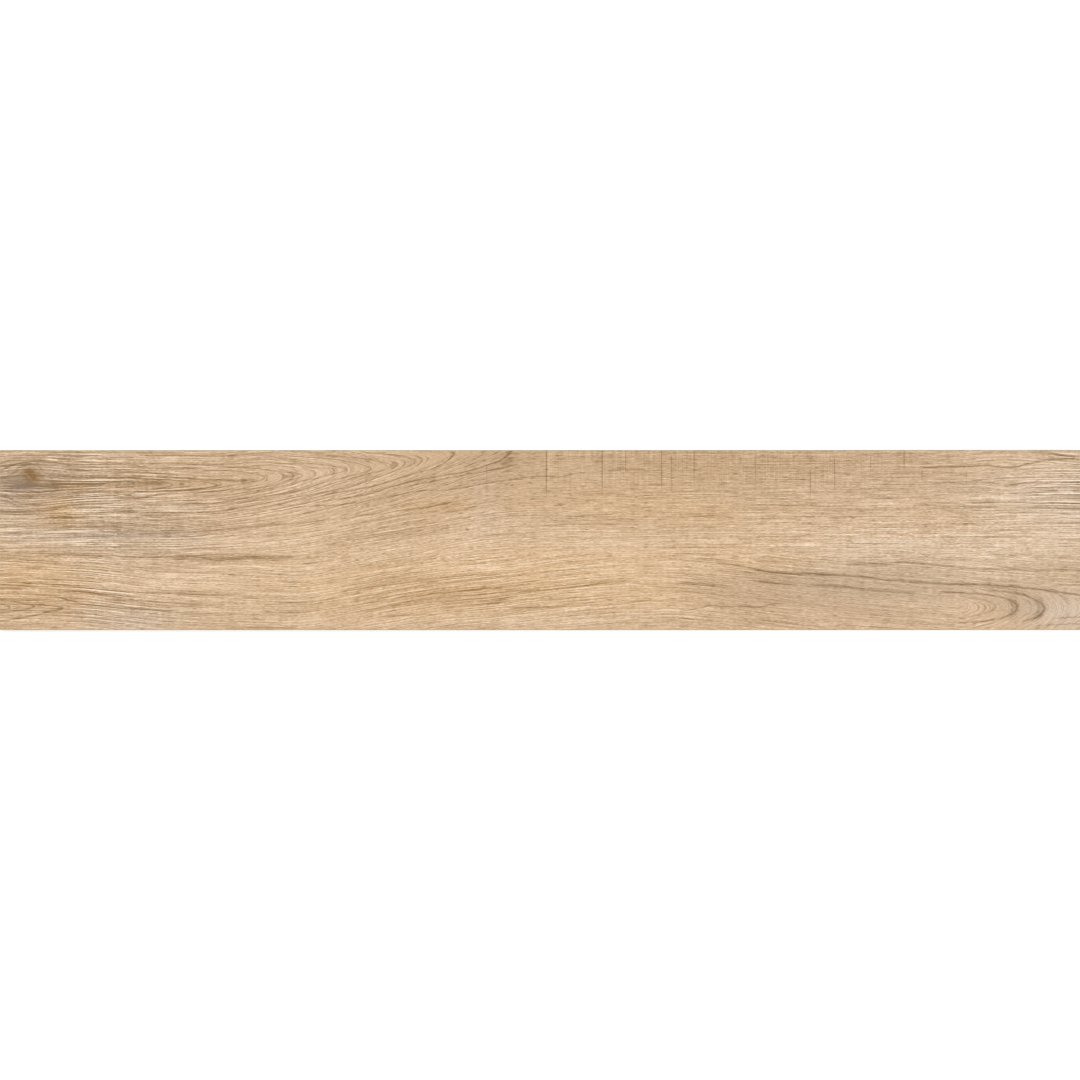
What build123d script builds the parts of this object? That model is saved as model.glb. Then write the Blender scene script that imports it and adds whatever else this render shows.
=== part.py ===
"""Wood-effect porcelain plank tile: one slab, dry-pressed, printed, fired and ground to size.

The plank lies face up. The origin is at the middle of its back, on the plane that it beds on, with +X along
the plank, +Y across it and +Z out of the printed face. Sizes are in millimetres, angles in degrees.
"""

import math
import os

from build123d import *

# Slab, as ground to size
LENGTH = 1200.0
WIDTH = 200.0
THICKNESS = 9.0

# Edges: the grinding wheels leave a small bevel round the face and break the sharp arris round the back
FACE_BEVEL = 0.8
BACK_BEVEL = 0.5

# Back: shallow square cells that key into the adhesive, with flat ribs between them
CELL_SIDE = 38.0
CELL_DEPTH = 0.8
CELL_CORNER_RADIUS = 3.0
CELL_DRAFT = 30.0
RIB_WIDTH = 5.0

CELL_PITCH = CELL_SIDE + RIB_WIDTH


def cells_along(extent):
    """How many whole cells fit along a back of this extent with at least a rib's width left beside them."""
    flat_back = extent - 2 * BACK_BEVEL
    return math.floor((flat_back - RIB_WIDTH) / CELL_PITCH)


def slab():
    """The plank's body with its ground edges, lying on its back."""
    body = Box(LENGTH, WIDTH, THICKNESS, align=(Align.CENTER, Align.CENTER, Align.MIN))
    body = chamfer(body.faces().sort_by(Axis.Z)[-1].edges(), FACE_BEVEL)
    return chamfer(body.faces().sort_by(Axis.Z)[0].edges(), BACK_BEVEL)


def key_cell():
    """One cell as the press punch makes it: a rounded square that narrows from its mouth to its floor."""
    mouth = RectangleRounded(CELL_SIDE, CELL_SIDE, CELL_CORNER_RADIUS)
    return extrude(mouth, amount=CELL_DEPTH, taper=CELL_DRAFT)


def key_cells():
    """The back's whole pattern of cells, in rows centred on the plank."""
    cell = key_cell()
    places = GridLocations(CELL_PITCH, CELL_PITCH, cells_along(LENGTH), cells_along(WIDTH))
    return [place * cell for place in places]


porcelain_tile = slab() - key_cells()

os.makedirs("parts", exist_ok=True)
export_step(porcelain_tile, "parts/porcelain_tile.step")
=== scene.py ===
"""A wood-effect porcelain plank tile: its modelled slab, its printed glaze, its stage.

The plank lies face up, with +X along it, +Y across it and +Z out of the printed face. Blender's unit is
the metre. The print is drawn in millimetres from the middle of the face, because that is how a tile's
artwork is measured, and its ink in levels of lightness out of 255.
"""
import math

import bpy
import numpy as np
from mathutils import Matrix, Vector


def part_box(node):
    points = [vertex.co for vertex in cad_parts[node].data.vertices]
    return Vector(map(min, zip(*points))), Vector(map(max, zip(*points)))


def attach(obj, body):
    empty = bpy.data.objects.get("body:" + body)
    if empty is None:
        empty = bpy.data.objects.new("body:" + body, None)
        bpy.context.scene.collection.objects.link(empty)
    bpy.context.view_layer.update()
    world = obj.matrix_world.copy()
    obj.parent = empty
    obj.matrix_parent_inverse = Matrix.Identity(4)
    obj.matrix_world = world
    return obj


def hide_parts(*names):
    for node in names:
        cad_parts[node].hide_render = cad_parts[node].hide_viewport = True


bl_info = {
    "name": "Wood-effect porcelain plank",
    "version": (1, 0, 0),
    "blender": (4, 5, 0),
    "location": "View3D > Sidebar > Plank",
    "description": "Models a printed porcelain plank tile in its frame and sets its stage",
    "category": "Mesh",
}

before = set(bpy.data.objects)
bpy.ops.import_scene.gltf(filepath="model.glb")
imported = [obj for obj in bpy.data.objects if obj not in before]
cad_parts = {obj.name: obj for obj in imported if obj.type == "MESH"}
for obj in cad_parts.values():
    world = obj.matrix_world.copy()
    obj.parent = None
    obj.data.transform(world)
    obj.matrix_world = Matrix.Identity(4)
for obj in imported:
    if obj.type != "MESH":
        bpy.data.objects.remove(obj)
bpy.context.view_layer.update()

MM = 0.001
TILE_NODE = "porcelain_tile"
TILE_BODY = "root"

BACK_CORNER, FACE_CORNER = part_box(TILE_NODE)
LENGTH, WIDTH, THICKNESS = FACE_CORNER - BACK_CORNER

# Faces are told apart by their place with this much slack
SLACK = 0.05 * MM


def linear(hex_colour):
    """An sRGB hex colour as linear red, green and blue."""
    channels = [int(hex_colour[i:i + 2], 16) / 255 for i in (1, 3, 5)]
    return [c / 12.92 if c <= 0.04045 else ((c + 0.055) / 1.055) ** 2.4 for c in channels]


def opaque(colour):
    """Linear red, green and blue with the alpha that a colour socket takes."""
    return (*colour, 1.0)


def add_node(tree, kind, inputs=None, **settings):
    """Adds a node, sets it up, fills its inputs with values or links, and returns its outputs."""
    node = tree.nodes.new(kind)
    for name, value in settings.items():
        setattr(node, name, value)
    for socket, value in (inputs or {}).items():
        if isinstance(value, bpy.types.NodeSocket):
            tree.links.new(value, node.inputs[socket])
        else:
            node.inputs[socket].default_value = value
    return node.outputs


def math_node(tree, operation, *values):
    """What an operation makes of values or links."""
    return add_node(tree, "ShaderNodeMath", dict(enumerate(values)), operation=operation)[0]


def map_range(tree, *values, **settings):
    """A value or link brought from one range to another, which is 0 to 1 if it isn't given."""
    return add_node(tree, "ShaderNodeMapRange", dict(enumerate(values)), **settings)[0]


# Grain figures of the print

# Upper left: a flame that points right, on an axis that climbs out over the far edge
FLAME_AXIS = (
    (-600, 60), (-467, 62), (-378, 62), (-357, 62), (-304, 69), (-262, 72), (-214, 78), (-186, 80),
    (-163, 83), (-135, 88), (-100, 94), (-60, 102), (0, 106), (600, 106),
)
# Across-grain distance along the axis, which sets the flame's tips apart
FLAME_STEPS = (
    (-430, 0), (-357, 3), (-304, 7), (-262, 12), (-214, 19), (-186, 24), (-135, 30), (-96, 34), (-40, 38),
)
# How far the flame reaches from its axis, how softly its lines turn, and how round its tips are
FLAME_REACH = 60
FLAME_SOFTNESS = 40
FLAME_TIP_RADIUS = 9

# Under the flame the grain climbs to the right by this much
FLAME_CLIMB = (
    (-400, 0), (-350, 2), (-300, 5), (-250, 11), (-200, 19), (-150, 27.5), (-100, 36), (-50, 43),
    (0, 46), (60, 46),
)

# The knot that the flame starts from: its place and reach, and how much the grain parts round it
KNOT_PLACE = (-566, 63)
KNOT_REACH = (45, 25)
KNOT_SPREAD = 0.46

# Upper right: straight grain with two small eyes, each a place, a reach and a swelling of the grain
EYES = (((520, 92), (50, 12), 5), ((520, 59), (22, 6), -4))

# Lower left and middle: one grain line as it dips and climbs
LOW_LINE = (
    (-600, -47), (-502, -50), (-421, -59), (-356, -62), (-267, -66), (-222, -59), (-173, -50), (-108, -40),
    (-59, -36), (-10, -30), (89, -21), (156, -21), (221, -28), (294, -36), (600, -58),
)

# Lower right: round arches that close to the right, given in the same way
ARCH_AXIS = ((400, -71), (467, -75), (600, -75))
ARCH_STEPS = ((470, 0), (508, 9), (529, 18), (559, 27), (576, 36), (600, 45))
ARCH_REACH = 80
ARCH_SOFTNESS = 30
ARCH_TIP_RADIUS = 12

# Where one figure gives way to the next; the arches lie under a line
KNOT_SEAM_X = (-500, -420)
FIGURE_SEAM_X = (0, 60)
FIGURE_SEAM_Y = (-26, -8)
ARCH_SEAM_X = (440, 500)
ARCH_SEAM_LINE = ((440, -49), (501, -51), (526, -53), (545, -55), (568, -58), (600, -64))
ARCH_SEAM_DEPTH = 5

# Other lines have their corners softened over this many millimetres
LINE_SOFTNESS = 60


def soft_step(value, low, high):
    """From 0 at low to 1 at high with soft ends."""
    share = np.clip((value - low) / (high - low), 0, 1)
    return share * share * (3 - 2 * share)


def soft_line(points, x, softness=LINE_SOFTNESS):
    """A line through given points with its corners softened, read at x."""
    step = 2
    half_length = LENGTH / MM / 2
    fine = np.arange(-half_length, half_length + step, step)
    line = np.interp(fine, *zip(*points))
    half_window = int(softness / step / 2)
    window = np.hanning(2 * half_window + 3)[1:-1]
    padded = np.pad(line, half_window, mode="edge")
    return np.interp(x, fine, np.convolve(padded, window / window.sum(), mode="valid"))


def soft_spot(x, y, place, reach):
    """1 at a place, fading to 0 round it."""
    return np.exp(-(((x - place[0]) / reach[0]) ** 2) - ((y - place[1]) / reach[1]) ** 2)


def round_fold(distance, radius):
    """Distance to an axis on either side of it, with a round tip."""
    return np.hypot(distance, radius) - radius


def knot_grain(x, y):
    """Grain that parts round the knot."""
    parted = 1 - KNOT_SPREAD * soft_spot(x, y, KNOT_PLACE, KNOT_REACH)
    return (soft_line(FLAME_AXIS, x, FLAME_SOFTNESS) - y) * parted


def flame_grain(x, y):
    """Nested tips on the flame's axis, over grain that climbs to the right."""
    axis = soft_line(FLAME_AXIS, x, FLAME_SOFTNESS)
    tips = soft_line(FLAME_STEPS, x, FLAME_SOFTNESS)
    fold = round_fold(axis - y, FLAME_TIP_RADIUS)
    reached = FLAME_AXIS[0][1] + soft_line(FLAME_CLIMB, x) - (axis - FLAME_REACH)
    rate = (reached - tips) / FLAME_REACH
    return tips + rate * np.minimum(fold, FLAME_REACH) + np.maximum(fold - FLAME_REACH, 0)


def straight_grain(x, y):
    """Straight grain that parts round small eyes."""
    return WIDTH / MM / 2 - y + sum(swell * soft_spot(x, y, place, reach) for place, reach, swell in EYES)


def dipping_grain(x, y):
    """Grain along one line that dips and climbs."""
    return y - soft_line(LOW_LINE, x)


def arched_grain(x, y):
    """Nested round arches."""
    fold = round_fold(y - soft_line(ARCH_AXIS, x), ARCH_TIP_RADIUS)
    near = np.clip(1 - fold / ARCH_REACH, 0, 1)
    return fold + soft_line(ARCH_STEPS, x, ARCH_SOFTNESS) * near


FIGURES = (knot_grain, flame_grain, straight_grain, dipping_grain, arched_grain)


def crowding(figure, x, y):
    """How crowded a figure's grain lines are, where 1 is as crowded as in straight grain."""
    step = 1.0
    across_x = figure(x + step, y) - figure(x - step, y)
    across_y = figure(x, y + step) - figure(x, y - step)
    return np.hypot(across_x, across_y) / (2 * step)


def grain_figures(x, y):
    """Each figure's across-grain distance, whose level lines are the grain, and where figures give way."""
    layout = {figure.__name__: figure(x, y) * MM for figure in FIGURES}
    layout["past_knot"] = soft_step(x, *KNOT_SEAM_X)
    layout["right"] = soft_step(x, *FIGURE_SEAM_X)
    under = soft_line(ARCH_SEAM_LINE, x) - y
    layout["arched"] = soft_step(x, *ARCH_SEAM_X) * soft_step(under, 0, ARCH_SEAM_DEPTH)
    layout["far"] = soft_step(y, *FIGURE_SEAM_Y)
    crowded = [crowding(figure, x, y) for figure in FIGURES]
    left = crowded[0] + (crowded[1] - crowded[0]) * layout["past_knot"]
    upper = left + (crowded[2] - left) * layout["right"]
    lower = crowded[3] + (crowded[4] - crowded[3]) * layout["arched"]
    layout["crowding"] = lower + (upper - lower) * layout["far"]
    return layout


# Soft patches of the print: place, reach, change of lightness, change of warmth
PATCHES = (
    # Long bands
    ((0, 94), (1200, 14), -5, 0),
    ((-50, 45), (700, 40), -4, 0),
    ((260, 2), (430, 30), 9, 0),
    ((-30, -50), (290, 42), 3, 6),
    # Left end: knot, golden patch, grey band, warm corner
    ((-572, 66), (60, 20), -17, -6),
    ((-480, 62), (90, 8), -17, 2),
    ((-600, 40), (120, 40), -7, -5),
    ((-562, 62), (50, 22), -17, 0),
    ((-475, 8), (90, 10), -8, 0),
    ((-567, 75), (9, 6), -18, 8),
    ((-562, 69), (9, 7), -24, 9),
    ((-572, 60), (11, 2.2), -74, -10),
    ((-584, 61), (8, 6), -12, -2),
    ((-520, 61), (30, 6), -8, 6),
    ((-567, 50), (7, 3), -12, 8),
    ((-533, 33), (24, 18), -4, 11),
    ((-500, 5), (130, 8), 0, -7),
    ((-565, -40), (70, 25), 0, 8),
    ((-550, -72), (70, 22), -10, 2),
    ((-455, -88), (50, 14), 3, -9),
    ((-570, -80), (50, 20), 5, 0),
    ((-460, 20), (90, 80), -4, -4),
    ((-440, 62), (90, 24), -6, 2),
    ((-500, 22), (110, 22), -6, 2),
    # Dark band left of the middle, and the pale strips beside it
    ((-385, -45), (95, 11), 12, 0),
    ((-312, -4), (50, 8), 9, 0),
    ((-335, -20), (75, 3.5), -18, 0),
    # Flame, and its foot
    ((-250, 72), (50, 25), 6, -2),
    ((-40, 64), (50, 20), -6, 0),
    ((-40, 88), (50, 14), -13, 0),
    ((-120, 38), (60, 8), -8, 4),
    ((-62, 40), (18, 35), 2, -4),
    ((-110, 62), (70, 14), -8, 0),
    ((-130, 15), (40, 7), -8, 2),
    # Sawn patch, and the plain grain under it
    ((200, 22), (110, 18), -5, 3),
    ((120, 42), (150, 26), 0, 4),
    ((230, 82), (170, 20), -7, 2),
    # Lower middle
    ((-110, -62), (110, 12), -8, 0),
    ((-50, -86), (110, 8), 6, 0),
    ((125, -64), (38, 18), 7, 2),
    ((20, -80), (130, 20), 6, -3),
    ((250, -18), (60, 20), 0, 4),
    ((80, -38), (110, 26), 8, 0),
    ((-240, -50), (30, 25), 8, 0),
    ((100, -22), (170, 22), 2, 3),
    ((0, -70), (200, 25), 0, 3),
    # Lower right
    ((250, -72), (60, 20), -5, 0),
    ((450, -72), (50, 22), 5, 0),
    ((320, -52), (190, 26), -11, -4),
    ((280, -40), (60, 6), -6, 0),
    ((536, -74), (26, 14), -12, -2),
    ((582, -80), (40, 22), 5, -12),
    # Right end
    ((575, 35), (90, 50), 8, -6),
    ((582, 66), (50, 38), 20, -1),
    ((400, 0), (260, 90), 0, -4),
    ((450, 22), (160, 25), -1, 4),
)

# Strokes that stand out of the grain: width, lightness, then the points that the stroke follows
STROKES = (
    # Over the knot, through it and behind it
    (1.2, -62, (-620, 70), (-600, 76), (-588, 83), (-565, 87.5), (-545, 87), (-515, 82.5), (-495, 81),
     (-470, 80)),
    (1.1, -44, (-480, 80.5), (-440, 80), (-370, 79)),
    (1.1, -50, (-530, 80), (-515, 77.5), (-495, 76), (-470, 75.5), (-440, 75), (-400, 73)),
    (1.0, -36, (-600, 68), (-590, 71), (-583, 74), (-578, 79)),
    (0.9, -29, (-620, 80), (-600, 84), (-585, 90), (-562, 93), (-535, 91), (-505, 86), (-440, 84)),
    (3.0, -36, (-552, 60), (-523, 61), (-485, 63), (-437, 64), (-410, 62)),
    (2.4, -44, (-576, 79), (-567, 75), (-562, 70), (-557, 64)),
    (1.2, -44, (-583, 77), (-577, 82), (-569, 84), (-560, 84)),
    (1.2, -38, (-562, 84), (-555, 80.5), (-550, 75)),
    (1.4, -44, (-569, 81), (-563, 76), (-559, 71)),
    (1.1, -34, (-578, 76), (-571, 71), (-566, 66)),
    (1.2, -40, (-572, 56), (-563, 55), (-555, 52), (-548, 52)),
    (1.1, -56, (-572, 60), (-558, 60), (-540, 59)),
    (1.3, 50, (-552, 93), (-541, 92), (-531, 91)),
    (1.2, 40, (-552, 90), (-541, 89), (-532, 88)),
    # Under the knot
    (1.0, -48, (-620, 53), (-600, 49), (-590, 47), (-581, 42), (-568, 39)),
    (1.0, -44, (-620, 47), (-600, 44), (-588, 42), (-579, 37), (-563, 35)),
    (1.0, -34, (-620, 57), (-600, 54), (-586, 53), (-572, 48), (-553, 46)),
    (0.9, 36, (-521, 23), (-493, 24), (-466, 25), (-444, 26)),
    (0.9, 25, (-521, 31), (-478, 34), (-452, 34.5)),
    (0.9, -36, (-481, 32), (-458, 32), (-438, 33.5)),
    (1.4, 22, (-620, 10), (-560, 9), (-520, 8.5)),
    (1.0, 29, (-584, -3), (-556, -4), (-523, -2), (-482, 1)),
    (0.9, -29, (-507, -9), (-466, -7), (-434, -9)),
    (1.5, -27, (-465, 9), (-437, 6), (-422, 8), (-399, 8.5), (-361, 11), (-295, 16)),
    # Pale lines of the left end
    (1.2, 36, (-495, 94.5), (-478, 94), (-458, 93.5)),
    (0.9, 28, (-398, 82.5), (-377, 82), (-356, 81.5)),
    (0.9, 30, (-432, 48), (-405, 50), (-372, 53)),
    (0.9, 30, (-512, 51), (-497, 51), (-481, 52)),
    (0.9, 26, (-447, 42), (-434, 43), (-421, 44)),
    (0.9, 30, (-519, -5), (-509, -5), (-500, -4.5)),
    (1.0, 26, (-584, -40), (-566, -40.5), (-547, -40)),
    (1.0, 24, (-575, -35), (-560, -35), (-544, -34)),
    (0.9, 24, (-581, -54), (-552, -55), (-522, -57)),
    (0.9, 26, (-491, -47), (-478, -48), (-466, -49)),
    (0.9, 26, (-464, -64.5), (-446, -65), (-429, -65.5)),
    # Nested tips of the flame, from the knot to the far edge
    (1.0, -36, (-440, 66), (-402, 62), (-422, 57), (-437, 54), (-466, 50), (-508, 47)),
    (1.0, -40, (-485, 70), (-447, 68), (-409, 67), (-378, 65), (-352, 61), (-376, 57), (-416, 52),
     (-437, 47), (-482, 43)),
    (1.9, -46, (-380, 64.5), (-361, 67.5), (-336, 66.5), (-310, 67)),
    (1.0, -36, (-390, 76), (-344, 77.5), (-321, 74.5), (-300, 69), (-325, 63), (-344, 59.5), (-390, 54)),
    (1.0, -45, (-380, 83), (-344, 81), (-306, 79), (-287, 76), (-257, 72), (-281, 66), (-297, 60),
     (-316, 57), (-344, 55.5), (-395, 51)),
    (0.9, -38, (-303, 85), (-281, 84.5), (-258, 85), (-237, 83), (-209, 78.5), (-230, 73), (-249, 68),
     (-268, 65), (-287, 59.5), (-320, 53), (-384, 47)),
    (2.2, -34, (-290, 70), (-278, 71), (-264, 72)),
    (0.9, -32, (-265, 80), (-240, 80), (-218, 79.5)),
    (0.9, -40, (-324, 94), (-283, 93), (-258, 92), (-230, 90), (-207, 86), (-180, 79), (-210, 71),
     (-230, 67), (-253, 59), (-268, 54.5), (-300, 49), (-364, 43)),
    (0.9, -38, (-264, 96), (-230, 93.5), (-199, 91), (-182, 88), (-158, 82), (-186, 74.5), (-210, 68),
     (-237, 61), (-258, 53), (-290, 46), (-344, 40)),
    (0.9, -40, (-204, 98), (-172, 95.5), (-153, 93), (-131, 88), (-153, 79), (-172, 73), (-191, 65),
     (-210, 59), (-249, 51.5), (-294, 43)),
    (0.9, -44, (-88, 110), (-93, 99), (-103, 86), (-121, 79), (-153, 70), (-172, 63), (-201, 56),
     (-226, 52.5), (-266, 44)),
    (1.0, -48, (-253, 41), (-210, 47), (-188, 52), (-163, 60), (-134, 67), (-105, 72), (-77, 77),
     (-57, 83), (-40, 90), (-26, 106)),
    (1.0, -44, (-157, 58), (-134, 62), (-96, 70), (-67, 75), (-44, 79), (-22, 85)),
    (1.0, -42, (-114, 54), (-82, 58), (-61, 63), (-35, 66), (-15, 70), (8, 71), (26, 70)),
    (3.5, -25, (-46, 82), (-34, 88), (-24, 93)),
    (1.0, -38, (-285, 35), (-249, 38), (-214, 39.5), (-182, 45), (-150, 52), (-116, 57)),
    (1.2, -34, (-214, 26), (-182, 29), (-153, 33), (-134, 35.5), (-115, 38.5), (-92, 43)),
    (1.0, -38, (-348, 11), (-316, 16), (-277, 17.5), (-249, 21), (-222, 24.5)),
    (1.0, -38, (-214, 16), (-182, 22), (-153, 28), (-120, 30.5)),
    # Bright stripes at the foot of the flame, and a speck
    (0.9, -32, (-115, 28.5), (-91, 32.5), (-78, 35.5), (-57, 43.5)),
    (0.9, 27, (-113, 23), (-87, 27), (-55, 36)),
    (0.9, -25, (-89, 22), (-68, 30), (-49, 34)),
    (0.9, 23, (-87, 20.5), (-66, 28), (-49, 31.5)),
    (1.3, -72, (-84, 12.5), (-81, 12), (-78, 11.5)),
    # Dark band left of the middle, and the pale lines under it
    (1.3, -44, (-556, -17), (-523, -16), (-485, -18), (-437, -19.5), (-409, -18), (-386, -16)),
    (2.2, -36, (-413, -21), (-380, -19), (-361, -22), (-332, -20), (-300, -18), (-265, -21)),
    (1.0, -22, (-620, -12), (-560, -14.5), (-520, -15)),
    (1.0, 29, (-511, -21), (-478, -22.5), (-453, -22.5), (-425, -21.5)),
    (1.6, 22, (-384, -30), (-330, -29), (-286, -30)),
    # Lower left: long sloping lines, and three small tips at the end of the tile
    (1.0, -25, (-620, -40), (-560, -42), (-500, -46), (-436, -50)),
    (1.1, -50, (-584, -48), (-543, -49), (-504, -53), (-466, -57), (-437, -58.5), (-380, -60.5),
     (-328, -61.5)),
    (1.1, -44, (-620, -48), (-575, -50.5), (-537, -55), (-508, -57), (-478, -62), (-451, -66.5),
     (-428, -69), (-366, -72)),
    (1.0, -36, (-492, -65.5), (-466, -67), (-443, -67.5)),
    (1.2, -54, (-566, -60), (-537, -62.5), (-520, -67), (-504, -72), (-485, -73), (-462, -76),
     (-439, -77), (-405, -79)),
    (1.3, -46, (-615, -69), (-598, -71), (-585, -75), (-598, -78.5), (-615, -80)),
    (1.4, -50, (-620, -65), (-585, -68), (-573, -70), (-558, -74), (-573, -77.5), (-589, -80),
     (-620, -83)),
    (1.2, -50, (-570, -70), (-543, -73), (-524, -76), (-545, -79), (-562, -84), (-581, -87.5),
     (-620, -92)),
    (1.0, -22, (-523, -87), (-495, -86), (-466, -86), (-437, -87), (-415, -89)),
    (1.0, -25, (-620, -99), (-571, -94), (-548, -93)),
    (1.0, -36, (-333, -63.5), (-325, -64), (-312, -64.5)),
    (2.0, -32, (-330, -97), (-296, -97.5), (-264, -97)),
    # Lower middle: lines that climb to the right
    (1.0, -34, (-230, -58.5), (-191, -52.5), (-153, -47.5), (-115, -42), (-40, -35.5)),
    (1.0, -38, (-191, -68), (-163, -64), (-134, -62), (-105, -57), (-77, -56), (-46, -50)),
    (1.0, -32, (-186, -75), (-153, -70), (-120, -63)),
    (1.1, -47, (-176, -85.5), (-157, -84), (-134, -83), (-113, -82)),
    (2.4, -23, (-111, -71), (-63, -70), (-42, -67.5), (-28, -64)),
    (1.8, -43, (-54, -68), (-43, -66.5), (-33, -65)),
    (1.1, -46, (-28, -58), (-4, -56), (13, -55), (42, -52), (61, -48.5), (80, -47), (104, -46)),
    (1.1, -46, (-47, -75), (4, -75), (38, -73), (71, -72), (92, -70), (133, -66)),
    (0.9, -18, (94, -57), (110, -55), (125, -53)),
    (1.4, 22, (107, -68), (128, -65), (160, -62)),
    (1.0, 18, (44, -33.5), (89, -32), (129, -32), (180, -32)),
    (1.2, 25, (-56, -23), (-52, -19), (-47, -17)),
    # Upper middle: short lines among the saw marks
    (1.0, -32, (20, 69), (34, 73), (51, 75)),
    (1.6, -29, (67, 77.5), (99, 78.5), (129, 77.5)),
    (1.0, -43, (96, 61), (118, 61), (148, 61.5)),
    (1.0, -32, (144, 66), (185, 67), (210, 67)),
    (1.0, -40, (264, 66), (286, 68), (306, 66)),
    (1.0, -32, (1, 16), (15, 16), (37, 18.5)),
    (1.0, -50, (20, 21.5), (27, 21), (34, 21)),
    (1.0, -32, (35, 26), (57, 28), (85, 28)),
    (1.0, -32, (70, 22.5), (90, 23), (112, 24)),
    (1.0, -32, (146, 23.5), (166, 26.5), (189, 27), (206, 26.5)),
    # Lower right: lines over the arches
    (2.4, -40, (338, -26), (377, -26), (401, -25), (434, -27), (463, -30), (482, -32), (510, -32),
     (549, -33), (620, -34)),
    (1.8, -54, (210, -27), (233, -31), (252, -36), (280, -37.5), (338, -39), (377, -43), (415, -47),
     (445, -48.5), (501, -50), (526, -51.5), (545, -53.5), (568, -56.5), (620, -65)),
    (2.2, -46, (229, -43.5), (252, -47.5), (290, -49.5)),
    (3.0, -38, (148, -47), (175, -48), (194, -50), (218, -55)),
    (1.8, -40, (296, -49), (329, -50.5), (363, -55), (386, -57), (424, -58)),
    (0.9, -43, (152, -80), (175, -76), (191, -72), (200, -75), (223, -73), (244, -75.5), (256, -71),
     (275, -69)),
    (1.0, -22, (560, -51.5), (590, -50), (620, -49)),
    # Arches
    (1.4, -30, (466, -64), (490, -66), (501, -69), (507, -74), (501, -79.5), (488, -83), (466, -85)),
    (1.5, -42, (436, -57.5), (470, -58.5), (500, -61), (516, -64), (525, -68), (530, -74), (526, -81),
     (516, -86.5), (495, -90), (459, -92)),
    (3.6, -14, (518, -65), (526, -69), (529, -74), (526, -80), (518, -85)),
    (1.7, -46, (490, -55), (525, -58), (538, -61), (548, -65), (557, -70), (561, -76), (556, -83),
     (546, -88), (532, -91)),
    (4.8, -44, (543, -64), (552, -68), (557, -75), (553, -82), (543, -88)),
    (1.2, -18, (552, -58), (566, -64), (575, -75), (568, -85)),
    (1.2, -12, (566, -60), (582, -66), (590, -75), (584, -83)),
    (1.0, -40, (564, -87), (585, -86), (620, -85)),
    (1.0, -32, (545, -95), (576, -93.5), (620, -93)),
    # Upper right: a wavy line with its tip near the corner, and the lines under it
    (1.4, -56, (418, 80), (450, 81), (472, 82), (491, 83.5), (507, 81.5), (526, 80), (539, 84), (558, 88),
     (577, 90), (600, 92), (577, 94.6), (558, 97.5), (535, 101)),
    (1.0, -40, (426, 62), (472, 65), (501, 68), (530, 68.5), (568, 70), (620, 70)),
    (1.2, -58, (523, 61.5), (543, 64), (558, 65), (577, 65), (620, 62)),
    (2.0, -25, (511, 60), (524, 60.5), (536, 61.5)),
    (1.0, -29, (315, 24), (363, 26.5), (415, 24.5), (447, 25.5)),
    (1.4, -25, (453, 25.5), (468, 26), (482, 25.5)),
    (1.0, -29, (472, 36), (530, 37), (620, 32)),
    (1.0, -36, (578, -0.5), (590, -1), (620, -2)),
    *((1.0, -60, (536, y), (570, y + 0.6), (620, y)) for y in (79.5, 76, 58, 53, 49.5, 45, 40.5, 36)),
)

# Strokes that follow each other in the list go to different layers, so that near ones don't mix
STROKE_LAYERS = 3

# A stroke's ends taper over this many millimetres or this share of its length, whichever is less, and its
# ink fades out between these many widths from it
STROKE_TAPER = 16
TAPER_SHARE = 1 / 3
STROKE_FADE = 2.0
STROKE_EDGE = 3.0

# Corners are cut round by this share of each side, this many times
CORNER_CUT = 0.25
CORNER_CUTS = 3


def smooth_curve(points):
    """A given line with its corners cut round."""
    curve = np.array(points, float)
    for _ in range(CORNER_CUTS):
        run = CORNER_CUT * (curve[1:] - curve[:-1])
        cut = np.empty((2 * len(curve), 2))
        cut[0], cut[-1] = curve[0], curve[-1]
        cut[1:-1:2] = curve[:-1] + run
        cut[2:-1:2] = curve[1:] - run
        curve = cut
    return curve


def from_curve(x, y, curve):
    """How far points lie to the left of a curve, how far along it, and how long the curve is."""
    best = np.full_like(x, np.inf)
    left = np.zeros_like(x)
    along = np.zeros_like(x)
    reached = 0.0
    for start, end in zip(curve[:-1], curve[1:]):
        run = end - start
        length = math.hypot(*run)
        off_x, off_y = x - start[0], y - start[1]
        share = np.clip((off_x * run[0] + off_y * run[1]) / length ** 2, 0, 1)
        gap = np.hypot(off_x - share * run[0], off_y - share * run[1])
        side = np.where(run[0] * off_y > run[1] * off_x, 1, -1)
        closer = gap < best
        best = np.where(closer, gap, best)
        left = np.where(closer, side * gap, left)
        along = np.where(closer, reached + share * length, along)
        reached += length
    return left, along, reached


def stroke_layers(x, y):
    """For each layer, how many widths a point lies from its nearest stroke, and that stroke's ink."""
    layers = {}
    for layer in range(STROKE_LAYERS):
        off = np.full_like(x, STROKE_EDGE)
        ink = np.zeros_like(x)
        for width, level, *points in STROKES[layer::STROKE_LAYERS]:
            curve = smooth_curve(points)
            low, high = curve.min(0) - STROKE_EDGE * width, curve.max(0) + STROKE_EDGE * width
            near = np.flatnonzero((x > low[0]) & (x < high[0]) & (y > low[1]) & (y < high[1]))
            left, along, length = from_curve(x[near], y[near], curve)
            taper = min(STROKE_TAPER, TAPER_SHARE * length)
            ends = soft_step(along, 0, taper) * soft_step(length - along, 0, taper)
            widths = left / width
            closer = np.abs(widths) < np.abs(off[near])
            off[near[closer]] = widths[closer]
            fade = soft_step(-np.abs(widths), -STROKE_EDGE, -STROKE_FADE)
            ink[near[closer]] = (level * ends * fade)[closer]
        layers[f"stroke_off_{layer}"] = off
        layers[f"stroke_ink_{layer}"] = ink
    return layers


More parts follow.
